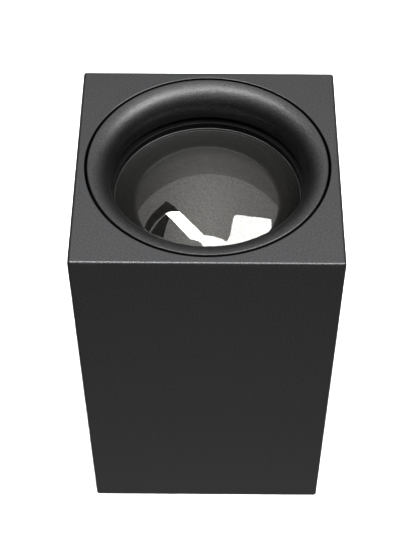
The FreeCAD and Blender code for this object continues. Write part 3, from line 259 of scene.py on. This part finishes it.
def finishMaterial(name, finish):
    # Two close tones, two close roughnesses, a fine bump and, for a fleck, a shine that varies with
    # the grain, all from noise on Object coordinates. The glass is smooth, with no bump.
    material = bpy.data.materials.new(name)
    material.use_nodes = True
    nodes, links = material.node_tree.nodes, material.node_tree.links
    shader = nodes["Principled BSDF"]
    place = nodes.new("ShaderNodeTexCoord")
    mapping = nodes.new("ShaderNodeMapping")
    mapping.inputs["Scale"].default_value = finish.get("stretch", (1, 1, 1))
    links.new(place.outputs["Object"], mapping.inputs["Vector"])
    cloud = nodes.new("ShaderNodeTexNoise")
    cloud.inputs["Scale"].default_value = finish["cloudScale"]
    cloud.inputs["Detail"].default_value = pattern["cloudDetail"]
    grain = nodes.new("ShaderNodeTexNoise")
    grain.inputs["Scale"].default_value = finish["grainScale"]
    grain.inputs["Detail"].default_value = pattern["grainDetail"]
    links.new(mapping.outputs["Vector"], cloud.inputs["Vector"])
    links.new(mapping.outputs["Vector"], grain.inputs["Vector"])
    tone = nodes.new("ShaderNodeMix")
    tone.data_type = "RGBA"
    tone.inputs["A"].default_value = (*finish["colors"][0], 1)
    tone.inputs["B"].default_value = (*finish["colors"][1], 1)
    blend = nodes.new("ShaderNodeMath")
    blend.operation = "MULTIPLY"
    links.new(cloud.outputs["Fac"], blend.inputs[0])
    links.new(grain.outputs["Fac"], blend.inputs[1])
    widen = nodes.new("ShaderNodeMapRange")
    widen.inputs["From Min"].default_value, widen.inputs["From Max"].default_value = pattern["toneRange"]
    links.new(blend.outputs[0], widen.inputs["Value"])
    links.new(widen.outputs["Result"], tone.inputs["Factor"])
    links.new(tone.outputs["Result"], shader.inputs["Base Color"])
    smooth, rough = finish["roughness"]
    shader.inputs["Roughness"].default_value = smooth
    if rough > smooth:
        gloss = nodes.new("ShaderNodeMapRange")
        gloss.inputs["To Min"].default_value, gloss.inputs["To Max"].default_value = smooth, rough
        links.new(cloud.outputs["Fac"], gloss.inputs["Value"])
        links.new(gloss.outputs["Result"], shader.inputs["Roughness"])
    strength = finish.get("bumpStrength", 0.2)
    if strength:
        bump = nodes.new("ShaderNodeBump")
        bump.inputs["Strength"].default_value = strength
        bump.inputs["Distance"].default_value = finish.get("bumpHeight", 0.0001)
        links.new(grain.outputs["Fac"], bump.inputs["Height"])
        links.new(bump.outputs["Normal"], shader.inputs["Normal"])
    shader.inputs["Metallic"].default_value = finish.get("metallic", 0.0)
    shine, fleck = finish.get("specular", 0.5), finish.get("fleck", 0.0)
    shader.inputs["Specular IOR Level"].default_value = shine
    if fleck:
        glint = nodes.new("ShaderNodeMapRange")
        glint.inputs["From Min"].default_value, glint.inputs["From Max"].default_value = pattern["glintRange"]
        glint.inputs["To Min"].default_value = shine * (1 - fleck)
        glint.inputs["To Max"].default_value = shine * (1 + fleck)
        links.new(grain.outputs["Fac"], glint.inputs["Value"])
        links.new(glint.outputs["Result"], shader.inputs["Specular IOR Level"])
    shader.inputs["Specular Tint"].default_value = (*finish.get("tint", (1, 1, 1)), 1)
    shader.inputs["Transmission Weight"].default_value = finish.get("transmission", 0.0)
    shader.inputs["IOR"].default_value = pattern["ior"]
    shader.inputs["Sheen Weight"].default_value = finish.get("sheen", 0.0)
    shader.inputs["Sheen Roughness"].default_value = finish.get("sheenRoughness", 0.5)
    return material


finishes = {
    "graphitePowderCoat": {
        "colors": [(0.0012, 0.0012, 0.0014), (0.0020, 0.0020, 0.0023)],
        "roughness": (0.26, 0.31), "cloudScale": 60, "grainScale": 1000, "specular": 0.43, "fleck": 0.3,
        "bumpStrength": 0.6, "bumpHeight": 0.00008, "tint": (0.975, 0.98, 1.0),
    },
    "ringSatinCoat": {
        "colors": [(0.0008, 0.0008, 0.0009), (0.0014, 0.0014, 0.0016)],
        "roughness": (0.38, 0.42), "cloudScale": 70, "grainScale": 1000, "specular": 0.38, "fleck": 0.35,
        "bumpStrength": 1.0, "bumpHeight": 0.0001,
    },
    "mattBlackCoat": {
        "colors": [(0.0012, 0.0012, 0.0012), (0.0025, 0.0025, 0.0025)],
        "roughness": (0.42, 0.5), "cloudScale": 90, "grainScale": 2500, "specular": 0.08,
        "bumpStrength": 0.1, "bumpHeight": 0.00003,
    },
    "gasketRubber": {
        "colors": [(0.003, 0.003, 0.003), (0.006, 0.006, 0.006)],
        "roughness": (0.7, 0.85), "cloudScale": 120, "grainScale": 3000, "specular": 0.15,
    },
    "lipRubber": {
        "colors": [(0.004, 0.0038, 0.0034), (0.008, 0.0076, 0.0068)],
        "roughness": (0.30, 0.40), "cloudScale": 120, "grainScale": 3000,
        "bumpStrength": 0.05,
    },
    "smokedGlass": {
        "colors": [(0.005, 0.005, 0.004), (0.085, 0.082, 0.072)],
        "roughness": (0.0, 0.0), "cloudScale": 900, "grainScale": 1200,
        "bumpStrength": 0.0, "transmission": 0.94, "sheen": 0.042, "sheenRoughness": 0.5,
        "tint": (1.0, 0.99, 0.955),
    },
    "darkAnodised": {
        "colors": [(0.05, 0.05, 0.048), (0.07, 0.07, 0.066)],
        "roughness": (0.35, 0.45), "cloudScale": 80, "grainScale": 1800, "metallic": 1.0,
    },
    "rawAluminium": {
        "colors": [(0.50, 0.51, 0.53), (0.62, 0.63, 0.65)],
        "roughness": (0.34, 0.48), "cloudScale": 50, "grainScale": 900, "metallic": 1.0,
        "stretch": (1, 1, 0.15),
    },
    "stainless": {
        "colors": [(0.50, 0.49, 0.48), (0.62, 0.61, 0.60)],
        "roughness": (0.22, 0.34), "cloudScale": 200, "grainScale": 1600, "metallic": 1.0,
    },
    "zincPlate": {
        "colors": [(0.38, 0.40, 0.42), (0.58, 0.60, 0.62)],
        "roughness": (0.38, 0.58), "cloudScale": 45, "grainScale": 300, "metallic": 1.0,
    },
    "nickelPlate": {
        "colors": [(0.62, 0.58, 0.50), (0.70, 0.66, 0.58)],
        "roughness": (0.18, 0.28), "cloudScale": 150, "grainScale": 1500, "metallic": 1.0,
    },
    "whiteMoulding": {
        "colors": [(0.70, 0.70, 0.67), (0.78, 0.78, 0.75)],
        "roughness": (0.42, 0.52), "cloudScale": 60, "grainScale": 1800,
    },
    "greyMoulding": {
        "colors": [(0.055, 0.058, 0.062), (0.075, 0.078, 0.082)],
        "roughness": (0.45, 0.58), "cloudScale": 60, "grainScale": 1300,
    },
    "thermalPad": {
        "colors": [(0.30, 0.32, 0.35), (0.36, 0.38, 0.41)],
        "roughness": (0.75, 0.9), "cloudScale": 150, "grainScale": 2600,
    },
    "phosphor": {
        "colors": [(0.85, 0.60, 0.08), (0.90, 0.70, 0.16)],
        "roughness": (0.35, 0.5), "cloudScale": 300, "grainScale": 3500,
    },
}
insulation = {
    "lift": 1.15,                 # the lighter tone against the darker one
    "offset": 0.004,
    "roughness": (0.35, 0.45),
    "cloudScale": 200,
    "grainScale": 2500,
}
insulationColors = {
    "live_wire": (0.16, 0.06, 0.025),
    "neutral_wire": (0.02, 0.08, 0.42),
    "earth_wire": (0.08, 0.36, 0.06),
    "led_positive_wire": (0.45, 0.015, 0.015),
    "led_negative_wire": (0.012, 0.012, 0.012),
}
nodeFinishes = {
    "graphitePowderCoat": ["housing"],
    "mattBlackCoat": ["lens_clamp_ring", "clamp_ring_screws"],
    "gasketRubber": ["lens_lower_gasket", "trim_ring_seal", "closing_plate_gasket", "gland_washer",
                     "gland_seal", "vent_seal"],
    "rawAluminium": ["heat_sink", "heat_sink_pillars", "closing_plate"],
    "stainless": ["reflector_screws", "led_holder_screws", "heat_sink_screws", "closing_plate_screws",
                  "bracket_screws", "driver_screws", "terminal_fixing_screws", "earth_stud", "earth_nut",
                  "earth_washer", "housing_set_screws"],
    "zincPlate": ["base_plate", "base_tabs", "driver_bracket"],
    "nickelPlate": ["gland_body", "gland_nut", "gland_locknut", "earth_ring_terminal",
                    "terminal_clamp_screws"],
    "whiteMoulding": ["led_holder", "terminal_block"],
    "greyMoulding": ["led_driver", "pressure_vent"],
    "thermalPad": ["thermal_pad"],
    "phosphor": ["led_board"],
    "darkAnodised": ["reflector"],
}
materials = {name: finishMaterial(name, finish) for name, finish in finishes.items()}


def coat(item, material):
    item.data.materials.clear()
    item.data.materials.append(material)


for finishName, names in nodeFinishes.items():
    for name in names:
        coat(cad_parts[name], materials[finishName])
for name, color in insulationColors.items():
    lighter = tuple(min(1.0, channel * insulation["lift"] + insulation["offset"]) for channel in color)
    coat(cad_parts[name], finishMaterial(name + "Insulation", {
        "colors": [color, lighter], **insulation,
    }))
print("materials ready")


def arc(center, radius, startDegrees, endDegrees, steps):
    points = []
    for step in range(steps + 1):
        angle = math.radians(startDegrees + (endDegrees - startDegrees) * step / steps)
        points.append((center[0] + radius * math.cos(angle), center[1] + radius * math.sin(angle)))
    return points


def spinProfile(bm, profile, steps, closed=True, degrees=360.0, startDegrees=0.0):
    start = Matrix.Rotation(math.radians(startDegrees), 3, "Z")
    verts = [bm.verts.new(start @ Vector((x, 0, z))) for x, z in profile]
    edges = [bm.edges.new(pair) for pair in zip(verts, verts[1:])]
    if closed:
        edges.append(bm.edges.new((verts[-1], verts[0])))
    fullTurn = degrees > 359
    bmesh.ops.spin(bm, geom=verts + edges, cent=(0, 0, 0), axis=(0, 0, 1),
                   angle=math.radians(degrees), steps=steps, use_merge=fullTurn)


seams = {
    "weld": 1e-6,
    "sharpDegrees": 35,
}


def finishPiece(name, bm, material, body, replaced):
    bmesh.ops.remove_doubles(bm, verts=bm.verts, dist=seams["weld"])
    bmesh.ops.recalc_face_normals(bm, faces=bm.faces)
    mesh = bpy.data.meshes.new(name)
    bm.to_mesh(mesh)
    bm.free()
    item = bpy.data.objects.new(name, mesh)
    scene.collection.objects.link(item)
    for face in mesh.polygons:
        face.use_smooth = True
    mesh.set_sharp_from_angle(angle=math.radians(seams["sharpDegrees"]))
    coat(item, material)
    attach(item, body)
    for node in replaced:
        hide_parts(node)
    return item


bellMouth = {
    "gap": 0.0002,
    "flare": 0.0129,
    "edge": 0.0008,
    "wall": 0.0028,
    "throatEdge": 0.0005,
    "throatDepth": 0.0202,
    "lugInner": 0.0667,
    "lugHeight": 0.0030,
    "lugDegrees": 20.0,
    "lugOverlap": 0.0004,         # into the skirt
    "lugs": 3,
    "lugSteps": 12,
    "flareSteps": 40,
    "edgeSteps": 6,
    "innerSteps": 24,
    "throatSteps": 5,
    "steps": 256,
}


def makeBellMouthRing(values):
    low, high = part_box("trim_ring")
    outer, top, bottom = high.x - values["gap"], high.z, low.z
    flare, edge, wall = values["flare"], values["edge"], values["wall"]
    center = (high.x - edge, top - flare)
    throat = center[0] - flare
    lip = top - values["throatDepth"]
    small = values["throatEdge"]
    innerFlare = flare - wall
    meeting = math.degrees(math.acos((center[0] - (outer - wall)) / innerFlare))
    profile = arc(center, flare, 180, 90, values["flareSteps"])
    profile += arc((outer - edge, top - edge), edge, 90, 0, values["edgeSteps"])[1:]
    profile += [(outer, bottom), (outer - wall, bottom)]
    profile += arc(center, innerFlare, 180 - meeting, 180, values["innerSteps"])
    profile += [(throat + wall, lip)]
    profile += arc((throat + small, lip + small), small, 270, 180, values["throatSteps"])
    bm = bmesh.new()
    spinProfile(bm, profile, values["steps"])
    lugTop = bottom + values["lugHeight"]
    overlap = outer - wall + values["lugOverlap"]
    for lug in range(values["lugs"]):
        part = bmesh.new()
        corners = [(values["lugInner"], bottom), (overlap, bottom), (overlap, lugTop),
                   (values["lugInner"], lugTop)]
        start = 360 / values["lugs"] * lug - values["lugDegrees"] / 2
        spinProfile(part, corners, values["lugSteps"], True, values["lugDegrees"], start)
        bmesh.ops.holes_fill(part, edges=[e for e in part.edges if e.is_boundary], sides=4)
        bmesh.ops.recalc_face_normals(part, faces=part.faces)
        spare = bpy.data.meshes.new("lug")
        part.to_mesh(spare)
        part.free()
        bm.from_mesh(spare)
        bpy.data.meshes.remove(spare)
    return finishPiece("bellMouthRing", bm, materials["ringSatinCoat"], "bezel", ["trim_ring"])


glassDome = {
    "sphere": 0.104,
    "rimRadius": 0.0574,
    "thickness": 0.0045,
    "edgeRound": 0.0004,
    "domeSteps": 56,
    "edgeSteps": 4,
    "innerSteps": 48,
    "steps": 256,
}


def makeGlassDome(values):
    low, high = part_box("lens")
    outer, bottom = high.x, low.z
    rim, thick, edge = values["rimRadius"], values["thickness"], values["edgeRound"]
    flangeTop = bottom + thick
    sphere = values["sphere"]
    center = flangeTop - math.sqrt(sphere ** 2 - rim ** 2)
    inside = sphere - thick
    innerRim = math.sqrt(inside ** 2 - (bottom - center) ** 2)
    rimAngle = math.degrees(math.acos(rim / sphere))
    innerAngle = math.degrees(math.acos(innerRim / inside))
    profile = arc((0, center), sphere, 90, rimAngle, values["domeSteps"])
    profile += arc((outer - edge, flangeTop - edge), edge, 90, 0, values["edgeSteps"])
    profile += arc((outer - edge, bottom + edge), edge, 0, -90, values["edgeSteps"])
    profile += arc((0, center), inside, innerAngle, 90, values["innerSteps"])
    bm = bmesh.new()
    spinProfile(bm, profile, values["steps"], closed=False)
    return finishPiece("glassDome", bm, materials["smokedGlass"], "body", ["lens"])


clampRingBead = {
    "inner": 0.0579,
    "radius": 0.00035,
    "inward": 0.00015,
    "upward": 0.00020,
    "roundSteps": 24,
    "steps": 256,
}


def makeClampRingBead(values):
    # A fine rolled bead on the clamp ring's inner edge.
    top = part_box("lens_clamp_ring")[1].z
    radius = values["radius"]
    center = (values["inner"] + radius - values["inward"], top - radius + values["upward"])
    around = arc(center, radius, 0, 360, values["roundSteps"])[:-1]
    bm = bmesh.new()
    spinProfile(bm, around, values["steps"])
    return finishPiece("clampRingBead", bm, materials["mattBlackCoat"], "body", [])


upperGasket = {
    "inner": 0.0575,
    "lip": 0.0004,
    "edge": 0.0002,
    "lipSteps": 16,
    "edgeSteps": 3,
    "steps": 256,
}


def makeLensUpperGasket(values):
    low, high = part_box("lens_upper_gasket")
    outer, top, bottom = high.x, high.z, low.z
    lip, edge = values["lip"], values["edge"]
    profile = arc((values["inner"] + lip, (top + bottom) / 2), lip, 270, 90, values["lipSteps"])
    profile += arc((outer - edge, top - edge), edge, 90, 0, values["edgeSteps"])
    profile += arc((outer - edge, bottom + edge), edge, 0, -90, values["edgeSteps"])
    bm = bmesh.new()
    spinProfile(bm, profile, values["steps"])
    return finishPiece("lensGasket", bm, materials["lipRubber"], "body", ["lens_upper_gasket"])


ring = makeBellMouthRing(bellMouth)
dome = makeGlassDome(glassDome)
makeClampRingBead(clampRingBead)
makeLensUpperGasket(upperGasket)
print("turned pieces ready")
